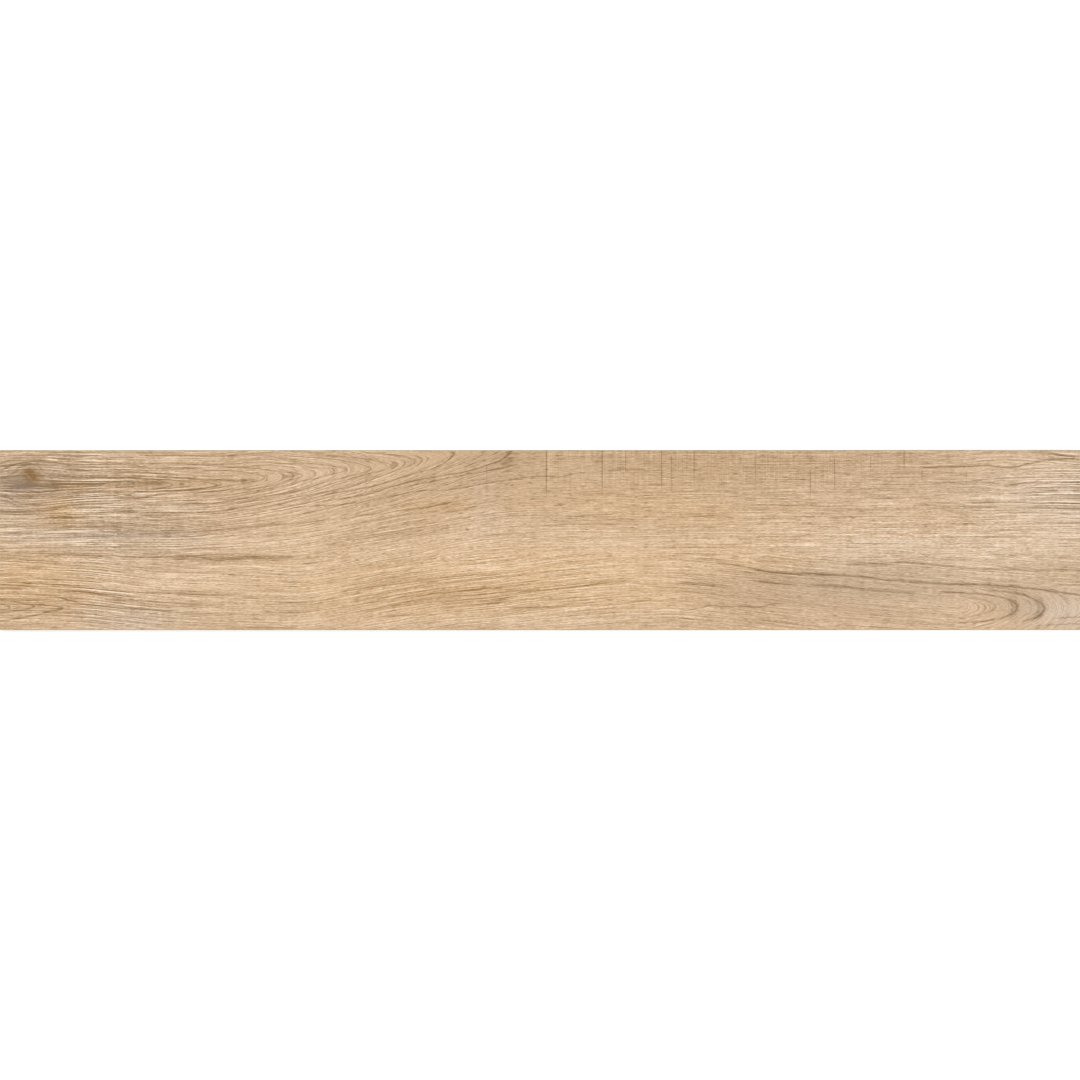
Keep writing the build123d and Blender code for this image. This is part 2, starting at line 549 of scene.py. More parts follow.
# Where the grain prints strongest: place, reach, strength, and its strength elsewhere
FIGURED = (
    ((-510, 45), (150, 60), 0.95),
    ((-300, 62), (220, 40), 0.32),
    ((-430, 30), (80, 50), 0.25),
    ((-540, -50), (90, 30), 0.4),
    ((-450, -76), (60, 22), 0.45),
    ((-60, -60), (160, 35), 0.28),
    ((480, -70), (170, 35), 0.32),
    ((200, -22), (70, 20), 0.15),
    ((600, 60), (70, 35), 1.0),
    ((380, 12), (150, 30), 0.2),
    ((490, 28), (60, 30), 0.2),
)
PLAIN_FIGURE = 0.26

# Where the grain is calm and only strokes show: place, reach, strength
CALM = (
    ((555, -74), (60, 22), 0.85), ((-566, 72), (16, 12), 0.4), ((380, -62), (170, 24), 0.6),
    ((70, 78), (90, 24), 0.45), ((200, 82), (90, 22), 0.25),
)

# Where a figure spreads its grain out, the grain falls quiet: crowding where none is left, and where all is
QUIET_CROWDING = (-0.1, 0.65)

# Where the saw crossed the grain: its two soft ends along the tile, and where it starts and is full across
SAWN_ALONG = (-5, 35, 330, 430)
SAWN_ACROSS = (40, 80)

# Where the saw shows faintly too: place, reach, strength
SAWN = (((-490, 25), (60, 40), 0.7), ((-465, -78), (60, 16), 0.8), ((565, 25), (40, 45), 0.5))

# Where the cut shows pale ray flecks: place, reach, strength
FLECKED = (((430, 4), (150, 30), 1.0), ((-90, -24), (60, 14), 0.8), ((-500, 30), (110, 50), 0.5))


def spread(x, y, places):
    """How strongly a list of soft places reaches a point, from 0 to 1."""
    return np.clip(sum(strength * soft_spot(x, y, place, reach) for place, reach, strength in places), 0, 1)


def print_layout(x, y):
    """Everything that the glaze reads at a point of the face, by name."""
    layout = grain_figures(x, y)
    layout["tone"] = np.zeros_like(x)
    layout["warmth"] = np.zeros_like(x)
    for place, reach, tone, warmth in PATCHES:
        spot = soft_spot(x, y, place, reach)
        layout["tone"] += tone * spot
        layout["warmth"] += warmth * spot
    layout["lively"] = (1 - spread(x, y, CALM)) * soft_step(layout["crowding"], *QUIET_CROWDING)
    layout["figure"] = (PLAIN_FIGURE + (1 - PLAIN_FIGURE) * spread(x, y, FIGURED)) * layout["lively"]
    sawn = soft_step(x, *SAWN_ALONG[:2]) * soft_step(-x, -SAWN_ALONG[3], -SAWN_ALONG[2])
    layout["sawn"] = sawn * soft_step(y, *SAWN_ACROSS) + spread(x, y, SAWN)
    layout["flecked"] = spread(x, y, FLECKED)
    layout.update(stroke_layers(x, y))
    return layout


# What a user of the add-on would change

def length_setting(name, description, size):
    """A length, given in millimetres."""
    return bpy.props.FloatProperty(
        name=name, description=description, default=size * MM, min=0.0, precision=5, subtype="DISTANCE",
        unit="LENGTH")


def colour_setting(name, description, hex_colour):
    """A colour, given as an sRGB hex colour."""
    return bpy.props.FloatVectorProperty(
        name=name, description=description, default=linear(hex_colour), min=0.0, max=1.0, size=3,
        subtype="COLOR")


class PlankSizes(bpy.types.PropertyGroup):
    """Sizes of the slab's edges, back and relief."""

    face_bevel: length_setting("Face bevel", "Bevel that the grinding wheels leave round the face", 0.8)
    back_bevel: length_setting("Back bevel", "Broken arris round the back", 0.5)
    cell_side: length_setting("Cell side", "Side of a key cell on the back", 38)
    cell_depth: length_setting("Cell depth", "Depth of a key cell", 0.8)
    cell_corner: length_setting("Cell corner", "Corner radius of a key cell", 3)
    cell_draft: bpy.props.FloatProperty(
        name="Cell draft", description="Slope of a key cell's walls from upright", default=math.radians(30),
        subtype="ANGLE", unit="ROTATION")
    rib_width: length_setting("Rib width", "Flat rib between two key cells", 5)
    relief_depth: length_setting("Relief depth", "Depth of the grain pressed into the face", 0.18)


class PlankColours(bpy.types.PropertyGroup):
    """Colours of the print and of the fired body."""

    pore: colour_setting("Pore", "Darkest ink, in the pores", "#7A592E")
    late_wood: colour_setting("Late wood", "Grain lines", "#9C7D58")
    heart_wood: colour_setting("Heart wood", "Most of the face", "#CAAA86")
    early_wood: colour_setting("Early wood", "Pale streaks", "#E7C9A8")
    fleck: colour_setting("Fleck", "Palest ink, in the flecks", "#F3E0C7")
    body: colour_setting("Body", "Fired porcelain at the ground edges", "#B8A68C")
    back: colour_setting("Back", "Fired porcelain as pressed, on the back", "#BDB09B")
    kiln_wash: colour_setting("Kiln wash", "White dust from the kiln's rollers", "#E9E5DC")


class PlankStage(bpy.types.PropertyGroup):
    """Floor, light and camera."""

    floor: colour_setting("Floor", "Pale studio floor", "#F4F4F4")
    lens: bpy.props.FloatProperty(
        name="Lens", description="Focal length on a 36 mm sensor", default=85.0, min=1.0,
        subtype="DISTANCE_CAMERA")
    sky: bpy.props.FloatProperty(
        name="Sky", description="Strength of the even light from all sides", default=0.6, min=0.0)


# The slab

def deselect_all():
    """Leaves nothing selected, so that the next operator acts on its own piece alone."""
    bpy.ops.object.select_all(action="DESELECT")


def select_edges(piece, wanted):
    """In edit mode, selects only the edges whose two ends pass the test."""
    bpy.ops.mesh.select_mode(type="EDGE")
    bpy.ops.mesh.select_all(action="DESELECT")
    bpy.ops.object.mode_set(mode="OBJECT")
    points = piece.data.vertices
    for edge in piece.data.edges:
        edge.select = wanted(*(points[i].co for i in edge.vertices))
    bpy.ops.object.mode_set(mode="EDIT")


def model_slab(sizes):
    """A block with bevelled edges round its face and its back."""
    deselect_all()
    bpy.ops.mesh.primitive_cube_add(size=1)
    slab = bpy.context.object
    slab.name = "plank_tile"
    bpy.ops.object.mode_set(mode="EDIT")
    bpy.ops.transform.resize(value=(LENGTH, WIDTH, THICKNESS), center_override=(0, 0, 0))
    bpy.ops.transform.translate(value=(BACK_CORNER + FACE_CORNER) / 2)
    for height, bevel in ((FACE_CORNER.z, sizes.face_bevel), (BACK_CORNER.z, sizes.back_bevel)):
        select_edges(slab, lambda a, b: max(abs(a.z - height), abs(b.z - height)) < SLACK)
        bpy.ops.mesh.bevel(offset=bevel, segments=1, affect="EDGES")
    bpy.ops.object.mode_set(mode="OBJECT")
    return slab


# A key cell's corners are rounded in this many steps
CELL_CORNER_STEPS = 4


def model_key_cells(sizes):
    """The key cells of the back as one cutter: one cell, then its rows and columns."""
    deselect_all()
    bpy.ops.mesh.primitive_plane_add(size=sizes.cell_side)
    cells = bpy.context.object
    cells.name = "key_cells"
    bpy.ops.object.mode_set(mode="EDIT")
    bpy.ops.mesh.select_all(action="SELECT")
    bpy.ops.mesh.bevel(offset=sizes.cell_corner, segments=CELL_CORNER_STEPS, affect="VERTICES")
    bpy.ops.mesh.extrude_region_move(TRANSFORM_OT_translate={"value": (0, 0, sizes.cell_depth)})
    floor_share = 1 - 2 * sizes.cell_depth * math.tan(sizes.cell_draft) / sizes.cell_side
    bpy.ops.transform.resize(value=(floor_share, floor_share, 1), center_override=(0, 0, sizes.cell_depth))
    # The open side goes below the back, so that the cut is clean
    select_edges(cells, lambda a, b: max(a.z, b.z) < SLACK)
    bpy.ops.mesh.extrude_region_move(TRANSFORM_OT_translate={"value": (0, 0, -sizes.cell_depth)})
    bpy.ops.mesh.select_all(action="SELECT")
    bpy.ops.mesh.normals_make_consistent(inside=False)

    pitch = sizes.cell_side + sizes.rib_width
    counts = [int((extent - 2 * sizes.back_bevel - sizes.rib_width) / pitch) for extent in (LENGTH, WIDTH)]
    shift = [-(count - 1) * pitch / 2 for count in counts]
    bpy.ops.transform.translate(value=(*shift, BACK_CORNER.z))
    bpy.ops.object.mode_set(mode="OBJECT")
    for axis, count in enumerate(counts):
        rows = cells.modifiers.new("rows", "ARRAY")
        rows.use_relative_offset = False
        rows.use_constant_offset = True
        rows.constant_offset_displace = [pitch if i == axis else 0 for i in range(3)]
        rows.count = count
        bpy.ops.object.modifier_apply(modifier=rows.name)
    return cells


def cut_key_cells(slab, sizes):
    """Presses the key cells into the back."""
    cells = model_key_cells(sizes)
    deselect_all()
    slab.select_set(True)
    bpy.context.view_layer.objects.active = slab
    cut = slab.modifiers.new("key cells", "BOOLEAN")
    cut.operation = "DIFFERENCE"
    cut.solver = "EXACT"
    cut.object = cells
    bpy.ops.object.modifier_apply(modifier=cut.name)
    bpy.data.objects.remove(cells)


# Relief grid of the face, fine across the grain and coarser along it: parts by two passes each way, because
# one pass of the operator makes at most a hundred cuts
PARTS_ALONG = (20, 20)
PARTS_ACROSS = (20, 10)


def divide_face(slab):
    """Divides the flat face into a fine grid that can carry the pressed grain."""
    bpy.ops.object.mode_set(mode="EDIT")
    top = FACE_CORNER.z - SLACK
    for still, passes in ((1, PARTS_ALONG), (0, PARTS_ACROSS)):
        for parts in passes:
            select_edges(slab, lambda a, b: min(a.z, b.z) > top and abs(a[still] - b[still]) < SLACK)
            bpy.ops.mesh.subdivide(number_cuts=parts - 1)
    bpy.ops.object.mode_set(mode="OBJECT")


def vertex_places(piece):
    """The mesh's vertices as a numpy array of x, y and z in metres."""
    places = np.empty(3 * len(piece.data.vertices), np.float32)
    piece.data.vertices.foreach_get("co", places)
    return places.reshape(-1, 3).astype(float)


# The relief starts this many millimetres from the face's bevel and is full this many from the tile's edge
RELIEF_START = 0.3
RELIEF_FULL = 3.0

# Ink this many levels darker than the rest is pressed to the full depth
DEEPEST_INK = 50


def press_relief(slab, layout, sizes):
    """Sinks the dark patches and strokes into the face, and leaves its rim flat."""
    places = vertex_places(slab)
    dark = np.clip(-layout["tone"], 0, None)
    for layer in range(STROKE_LAYERS):
        stroke = np.exp(-layout[f"stroke_off_{layer}"] ** 2)
        dark = dark - np.minimum(layout[f"stroke_ink_{layer}"], 0) * stroke
    rim = np.minimum(LENGTH / 2 - np.abs(places[:, 0]), WIDTH / 2 - np.abs(places[:, 1])) / MM
    rim_share = soft_step(rim, sizes.face_bevel / MM + RELIEF_START, RELIEF_FULL)
    on_face = places[:, 2] > FACE_CORNER.z - SLACK
    group = slab.vertex_groups.new(name="pressed grain")
    for index, weight in enumerate(np.clip(dark / DEEPEST_INK, 0, 1) * rim_share * on_face):
        if weight > 0:
            group.add((index,), float(weight), "REPLACE")
    press = slab.modifiers.new("press", "DISPLACE")
    press.direction = "Z"
    press.mid_level = 0
    press.strength = -sizes.relief_depth
    press.vertex_group = group.name
    bpy.ops.object.modifier_apply(modifier=press.name)


def store_layout(slab, layout):
    """Keeps the print's layout on the mesh for the glaze to read."""
    for name, values in layout.items():
        attribute = slab.data.attributes.new(name, "FLOAT", "POINT")
        attribute.data.foreach_set("value", values.astype(np.float32))


# Faces by finish, told apart by how far their normals point up
GLAZED, GROUND, PRESSED = range(3)
FACE_UP = 0.9
BACK_UP = -0.2

# Faces that meet at less than this are shaded as one
SMOOTH_ANGLE = math.radians(25)


def assign_finishes(slab):
    """Glaze on the face, ground body on the edges, pressed body on the back."""
    for face in slab.data.polygons:
        if face.normal.z > FACE_UP:
            face.material_index = GLAZED
        elif face.normal.z < BACK_UP:
            face.material_index = PRESSED
        else:
            face.material_index = GROUND
    bpy.ops.object.shade_smooth_by_angle(angle=SMOOTH_ANGLE)


# The map for baking the materials through has this name. It is laid out in millimetres on a square
# sheet, with this margin round each island.
BAKE_MAP = "OFBake"
SHEET_MARGIN = 4

# The normals of edge faces point sideways by more than this
SIDEWAYS = 0.5


def read_mesh(items, name, parts, kind=np.float32):
    """One property of all faces or corners of a mesh, as a numpy array with a row for each part of it."""
    values = np.empty(parts * len(items), kind)
    items.foreach_get(name, values)
    return values.reshape(-1, parts).T


def unfold(slab):
    """Unfolds the slab on its sheet: the face in halves, back and long edges at half length, the ends."""
    mesh = slab.data
    corner_counts = read_mesh(mesh.polygons, "loop_total", 1, np.int32)[0]
    face_x, face_y, face_z = np.repeat(read_mesh(mesh.polygons, "normal", 3), corner_counts, axis=1)
    middle = np.repeat(read_mesh(mesh.polygons, "center", 3)[0], corner_counts)
    x, y, z = vertex_places(slab)[read_mesh(mesh.loops, "vertex_index", 1, np.int32)[0]].T / MM
    length, width, thickness = LENGTH / MM, WIDTH / MM, THICKNESS / MM
    # For each island its corners, which the first that fits takes, their place along it and up it, and its
    # height
    islands = (
        ((face_z > FACE_UP) & (middle < 0), x + length / 2, y + width / 2, width),
        (face_z > FACE_UP, x, y + width / 2, width),
        (face_z < BACK_UP, (length / 2 - x) / 2, (y + width / 2) / 2, width / 2),
        (face_y < -SIDEWAYS, (length / 2 + x) / 2, z, thickness),
        (face_y > SIDEWAYS, (length / 2 - x) / 2, z, thickness),
        (face_x < -SIDEWAYS, width / 2 - y, z, thickness),
        (face_x > SIDEWAYS, width / 2 + y, z, thickness),
    )
    chosen, along, up, heights = zip(*islands)
    feet = np.cumsum([SHEET_MARGIN, *(height + SHEET_MARGIN for height in heights[:-1])])
    along = SHEET_MARGIN + np.select(chosen, along)
    up = np.select(chosen, [foot + part for foot, part in zip(feet, up)])
    side = length / 2 + 2 * SHEET_MARGIN
    sheet = mesh.uv_layers.new(name=BAKE_MAP)
    sheet.data.foreach_set("uv", (np.column_stack((along, up)) / side).astype(np.float32).ravel())


# Materials

def new_material(name):
    """An empty node material."""
    material = bpy.data.materials.new(name)
    material.use_nodes = True
    material.node_tree.nodes.clear()
    return material


# Seams between figures are ragged by fibres of this length and width in millimetres, whose noise swings
# this far
RAGGED = (80, 2.0)
RAGGED_SWING = 0.2

# The grain's wander across its line: length and width of a bend, and its size, in millimetres
WANDERS = ((150, 30, 3.5), (34, 8, 0.9))

# Broad streaks of the wood: length and width in millimetres, and levels of ink
STREAKS = ((320, 10, 18), (190, 3, 5))

# Fine fibres: length and width in millimetres, and levels of ink in plain grain and in figured grain
FIBRES = ((110, 0.45, 30, 175), (22, 0.4, 58, 78), (3.5, 0.4, 34, 62))

# Fine grain that runs straight along the tile: length and width in millimetres, and levels of ink
STRAIGHT_FIBRES = (5, 0.5, 46)

# Where a figure spreads its grain out, down to this crowding, fibres and lines stay as thin as elsewhere
SPREAD_CROWDING = 0.35

# Pores and pale ray flecks: length and width in millimetres, noise where one starts and is full, and levels
# of ink
PORES = (14, 0.55, (0.06, 0.2), -32)
FLECKS = (6, 0.8, (0.02, 0.2), 30)

# Grain lines: pitch, line width and length over which a line comes and goes, in millimetres, and levels
# of ink
GRAIN_PITCH = 8.9
GRAIN_LINES = (
    (GRAIN_PITCH, 1.0, 140, -40), (GRAIN_PITCH / 1.6, 0.8, 90, 36), (GRAIN_PITCH / 2.3, 0.8, 90, -43),
    (GRAIN_PITCH / 3.1, 0.6, 50, 58), (GRAIN_PITCH / 4.1, 0.6, 60, -67),
)

# Their pitch changes over this many millimetres. A line is gone and full at these values of its own noise,
# which is read this far from the noise of the line beside it.
PITCH_CHANGE = 15
LINE_GONE, LINE_FULL = 0.36, 0.62
LINE_APART = 7.3

# How far a stroke's ink reaches, in widths. The fray of its edges: length and width in millimetres, size
# in widths. Its breaks: length and width in millimetres, noise where it is weakest and full, and what is
# left at its weakest.
STROKE_REACH = 1.35
STROKE_FRAY = (36, 3, 1.6)
STROKE_BREAKS = (30, 1.2, (-0.25, 0.15), 0.45)

# Fine lines that the saw left across the grain: width and length in millimetres, and levels of ink
SAW_LINES = (1.5, 40, 30)

# Single saw marks: place along the tile, start and end across it, width, levels of ink
SAW_MARKS = (
    (7, 100, 40, 0.9, -54), (10, 100, 55, 0.9, 20), (69, 100, 42, 1.4, -38), (95, 100, 68, 0.9, -28),
    (135, 100, 44, 1.0, -36), (146, 94, 44, 0.8, -30), (171, 100, 55, 1.2, -28), (239, 92, 44, 1.6, -16),
    (300, 78, 44, 0.8, -38), (327, 90, 47, 0.8, -46), (367, 94, 72, 0.9, -22), (404, 100, 75, 1.0, -42),
    (424, 78, 60, 0.8, -30), (473, 77, 55, 0.8, -22), (-59, 83, 42, 0.8, -18),
)

# A saw mark fades out towards its end over this share of its length
SAW_FADE = 0.5

# The ink ramp starts at the darkest level and runs over this range. The print's own ink is added to the
# middle level.
INK_DARKEST = 110
INK_MIDDLE = 186.5
INK_RANGE = 120

# Where pore, late wood, heart wood, early wood and fleck lie on the ramp
INK_STOPS = (0.0, 0.267, 0.608, 0.858, 1.0)

# Saturation for each level of warmth
WARMTH_STEP = 0.018


def stretched_noise(tree, place, sizes, octaves, dimensions="3D"):
    """Noise from 0 to 1, in spots of these sizes in millimetres along x, y and z."""
    scale = [1 / (size * MM) for size in sizes]
    spot = add_node(tree, "ShaderNodeVectorMath", {0: place, 1: scale}, operation="MULTIPLY")[0]
    return add_node(tree, "ShaderNodeTexNoise", {"Vector": spot, "Scale": 1, "Detail": octaves},
                    noise_dimensions=dimensions)[0]


def fibre_noise(tree, grain, length, width, octaves=1):
    """Noise about zero, drawn out along the grain into fibres of a length and a width in millimetres."""
    noise = stretched_noise(tree, grain, (length, width, width), octaves, "2D")
    return math_node(tree, "SUBTRACT", noise, 0.5)


def lay_ink(tree, ink, amount, levels):
    """Adds levels of ink in the amount given."""
    return math_node(tree, "MULTIPLY_ADD", amount, levels, ink)


def grain_place(tree, place, layout):
    """Where a point lies along the tile and across the grain that runs through it."""
    x = add_node(tree, "ShaderNodeSeparateXYZ", {0: place})[0]

    # Each point takes one figure's grain, chosen along ragged seams, so that no seam shows
    ragged = map_range(tree, fibre_noise(tree, place, *RAGGED), -RAGGED_SWING, RAGGED_SWING)

    def choose(seam, before, after):
        """The grain before a seam or after it."""
        past = math_node(tree, "GREATER_THAN", layout[seam], ragged)
        return add_node(tree, "ShaderNodeMix", {0: past, 2: before, 3: after})[0]

    left = choose("past_knot", layout["knot_grain"], layout["flame_grain"])
    upper = choose("right", left, layout["straight_grain"])
    lower = choose("arched", layout["dipping_grain"], layout["arched_grain"])
    across = choose("far", lower, upper)

    grain = add_node(tree, "ShaderNodeCombineXYZ", {0: x, 1: across})[0]
    # A bend is as large on the tile where the grain spreads out as elsewhere
    steady = math_node(tree, "MINIMUM", layout["crowding"], 1.0)
    for length, width, sway in WANDERS:
        bend = math_node(tree, "MULTIPLY", fibre_noise(tree, grain, length, width), steady)
        across = math_node(tree, "MULTIPLY_ADD", bend, sway * MM, across)
        grain = add_node(tree, "ShaderNodeCombineXYZ", {0: x, 1: across})[0]
    return grain


def fibre_ink(tree, ink, place, grain, layout):
    """Broad streaks and fine fibres, pores and ray flecks."""
    length, width, levels = STRAIGHT_FIBRES
    ink = lay_ink(tree, ink, fibre_noise(tree, place, length, width, 0), levels)
    for length, width, levels in STREAKS:
        streak = math_node(tree, "MULTIPLY", fibre_noise(tree, grain, length, width), layout["lively"])
        ink = lay_ink(tree, ink, streak, levels)
    spread_out = map_range(tree, layout["crowding"], 1.0, SPREAD_CROWDING)
    for length, width, plain, figured in FIBRES:
        levels = map_range(tree, layout["figure"], 0.0, 1.0, plain, figured)
        fibre = fibre_noise(tree, grain, length, width, 0)
        thin = fibre_noise(tree, grain, length, width * SPREAD_CROWDING, 0)
        fibre = add_node(tree, "ShaderNodeMix", {0: spread_out, 2: fibre, 3: thin})[0]
        fibre = math_node(tree, "MULTIPLY", fibre, layout["lively"])
        ink = lay_ink(tree, ink, fibre, levels)

    for (length, width, (start, full), levels), where in ((PORES, 1.0), (FLECKS, layout["flecked"])):
        spots = map_range(tree, fibre_noise(tree, grain, length, width), start, full)
        ink = lay_ink(tree, ink, math_node(tree, "MULTIPLY", spots, where), levels)
    return ink


def grain_line_ink(tree, ink, grain, layout):
    """Grain lines at an uneven pitch, each with a strength of its own that comes and goes."""
    x, across = add_node(tree, "ShaderNodeSeparateXYZ", {0: grain})[:2]
    change = 1 / (PITCH_CHANGE * MM)
    uneven = add_node(tree, "ShaderNodeTexNoise", {"W": across, "Scale": change, "Detail": 1},
                      noise_dimensions="1D")[0]
    crowded = math_node(tree, "MAXIMUM", layout["crowding"], SPREAD_CROWDING)
    for pitch, width, length, levels in GRAIN_LINES:
        count = math_node(tree, "MULTIPLY_ADD", across, 1 / (pitch * MM), uneven)
        phase = math_node(tree, "FRACT", count)
        off = math_node(tree, "ABSOLUTE", math_node(tree, "SUBTRACT", phase, 0.5))
        reach = math_node(tree, "MULTIPLY", crowded, width / pitch)
        line = map_range(tree, off, reach, 0.0, interpolation_type="SMOOTHSTEP")
        number = math_node(tree, "FLOOR", count)
        spot = add_node(tree, "ShaderNodeCombineXYZ", {0: x, 1: number})[0]
        spot = add_node(tree, "ShaderNodeVectorMath", {0: spot, 1: (1 / (length * MM), LINE_APART, 0)},
                        operation="MULTIPLY")[0]
        strength = add_node(tree, "ShaderNodeTexNoise", {"Vector": spot, "Scale": 1, "Detail": 1},
                            noise_dimensions="2D")[0]
        line = math_node(tree, "MULTIPLY", line, map_range(tree, strength, LINE_GONE, LINE_FULL))
        ink = lay_ink(tree, ink, math_node(tree, "MULTIPLY", line, layout["figure"]), levels)
    return ink


def stroke_ink(tree, ink, grain, layout):
    """The strokes, with edges that the fibres fray."""
    length, width, fray_size = STROKE_FRAY
    fray = fibre_noise(tree, grain, length, width)
    length, width, (weakest, full), left = STROKE_BREAKS
    broken = map_range(tree, fibre_noise(tree, grain, length, width), weakest, full, left)
    for layer in range(STROKE_LAYERS):
        off = math_node(tree, "MULTIPLY_ADD", fray, fray_size, layout[f"stroke_off_{layer}"])
        off = math_node(tree, "ABSOLUTE", off)
        stroke = map_range(tree, off, STROKE_REACH, 0.0, interpolation_type="SMOOTHSTEP")
        stroke = math_node(tree, "MULTIPLY", stroke, broken)
        ink = lay_ink(tree, ink, stroke, layout[f"stroke_ink_{layer}"])
    return ink


def saw_mark():
    """One thin mark across the grain, sharp at its start and soft at its end."""
    tree = bpy.data.node_groups.new("saw mark", "ShaderNodeTree")
    for name in ("X", "Y", "Place", "Start", "End", "Width", "Level", "Ink"):
        tree.interface.new_socket(name, in_out="INPUT", socket_type="NodeSocketFloat")
    tree.interface.new_socket("Ink", in_out="OUTPUT", socket_type="NodeSocketFloat")
    given = add_node(tree, "NodeGroupInput")
    off = math_node(tree, "ABSOLUTE", math_node(tree, "SUBTRACT", given["X"], given["Place"]))
    core = map_range(tree, off, given["Width"], 0.0, interpolation_type="SMOOTHSTEP")
    past_end = map_range(tree, given["Y"], given["End"], given["Start"])
    fade = map_range(tree, past_end, 0.0, SAW_FADE, interpolation_type="SMOOTHSTEP")
    past_start = math_node(tree, "LESS_THAN", given["Y"], given["Start"])
    amount = math_node(tree, "MULTIPLY", math_node(tree, "MULTIPLY", core, fade), past_start)
    add_node(tree, "NodeGroupOutput", {"Ink": lay_ink(tree, given["Ink"], amount, given["Level"])})
    return tree


def saw_ink(tree, ink, place, layout):
    """Fine lines across the grain in the sawn patch, and the single marks among them."""
    width, length, levels = SAW_LINES
    lines = math_node(tree, "MULTIPLY", fibre_noise(tree, place, width, length), layout["sawn"])
    ink = lay_ink(tree, ink, lines, levels)
    x, y = add_node(tree, "ShaderNodeSeparateXYZ", {0: place})[:2]
    mark_tree = saw_mark()
    for at, start, end, width, level in SAW_MARKS:
        inputs = {
            "X": x, "Y": y, "Place": at * MM, "Start": start * MM, "End": end * MM, "Width": width * MM,
            "Level": level, "Ink": ink,
        }
        ink = add_node(tree, "ShaderNodeGroup", inputs, node_tree=mark_tree)[0]
    return ink


def ink_colour(tree, ink, layout, colours):
    """The ink ramp, turned golden or grey by the print's warmth."""
    shade = lay_ink(tree, (INK_MIDDLE - INK_DARKEST) / INK_RANGE, ink, 1 / INK_RANGE)
    ramp = add_node(tree, "ShaderNodeValToRGB", {"Fac": shade})
    stops = ramp[0].node.color_ramp.elements
    inks = (colours.pore, colours.late_wood, colours.heart_wood, colours.early_wood, colours.fleck)
    for position in INK_STOPS[1:-1]:
        stops.new(position)
    for stop, position, colour in zip(stops, INK_STOPS, inks):
        stop.position = position
        stop.color = opaque(colour)
    warm = lay_ink(tree, 1.0, layout["warmth"], WARMTH_STEP)
    return add_node(tree, "ShaderNodeHueSaturation", {"Color": ramp["Color"], "Saturation": warm})[0]


# All three finishes are fired porcelain or glaze, which bends light by this much
PORCELAIN_IOR = 1.5

# Their roughness, and the strength and depth in millimetres of their fine bumps
GLAZE_SURFACE = (0.5, 0.5, 0.15)
GROUND_SURFACE = (0.55, 0.3, 0.1)
PRESSED_SURFACE = (0.85, 0.4, 0.2)

# Specks of the ground body: size in millimetres, noise where one starts and is full, and how dark it is
SPECK_SIZE = 1.2
SPECK_NOISE = (0.42, 0.72)
SPECK_SHADE = 0.8

# Lines that the grinding wheels leave along the edges: length and width in millimetres
GROUND_LINES = (90, 0.7)

# Kiln wash lies on the back in clouds of this size in millimetres, between these values of their noise.
# Cells take the first share of it and ribs the second, up to this height in millimetres.
CLOUD_SIZE = 60
CLOUD_NOISE = (0.35, 0.65)
WASH_SHARES = (0.1, 0.65)
WASH_HEIGHT = 0.4

# Grit of the back: size in millimetres, and its share of the wash
GRIT_SIZE = 1.5
GRIT_SHARE = 0.3


def fire(tree, colour, height, roughness, bump_strength, bump_depth):
    """Ends a finish in its fired surface."""
    bump = add_node(tree, "ShaderNodeBump",
                    {"Height": height, "Strength": bump_strength, "Distance": bump_depth * MM})[0]
    surface = {"Base Color": colour, "Roughness": roughness, "IOR": PORCELAIN_IOR, "Normal": bump}
    shader = add_node(tree, "ShaderNodeBsdfPrincipled", surface)[0]
    add_node(tree, "ShaderNodeOutputMaterial", {"Surface": shader})


def printed_glaze(colours, layout_names):
    """Matt glaze over an inkjet print, fired: soft sheen, crisp wood colours, faintly ribbed by its ink."""
    material = new_material("printed matt glaze")
    tree = material.node_tree
    place = add_node(tree, "ShaderNodeTexCoord")["Object"]
    layout = {}
    for name in layout_names:
        layout[name] = add_node(tree, "ShaderNodeAttribute", attribute_name=name)["Fac"]
    grain = grain_place(tree, place, layout)
    ink = fibre_ink(tree, layout["tone"], place, grain, layout)
    ink = grain_line_ink(tree, ink, grain, layout)
    ink = stroke_ink(tree, ink, grain, layout)
    ink = saw_ink(tree, ink, place, layout)
    colour = ink_colour(tree, ink, layout, colours)
    fire(tree, colour, math_node(tree, "MULTIPLY", ink, 1 / INK_RANGE), *GLAZE_SURFACE)
    return material


def ground_body(colours):
    """Porcelain body ground to size: dense, smooth, pale, with fine specks and lines along the edge."""
    material = new_material("ground porcelain body")
    tree = material.node_tree
    place = add_node(tree, "ShaderNodeTexCoord")["Object"]
    specks = map_range(tree, stretched_noise(tree, place, 3 * [SPECK_SIZE], 2), *SPECK_NOISE)
    body = opaque(colours.body)
    dark = opaque([SPECK_SHADE * c for c in colours.body])
    colour = add_node(tree, "ShaderNodeMix", {0: specks, 6: body, 7: dark}, data_type="RGBA")[2]
    length, width = GROUND_LINES
    lines = stretched_noise(tree, place, (length, length, width), 2)
    fire(tree, colour, lines, *GROUND_SURFACE)
    return material


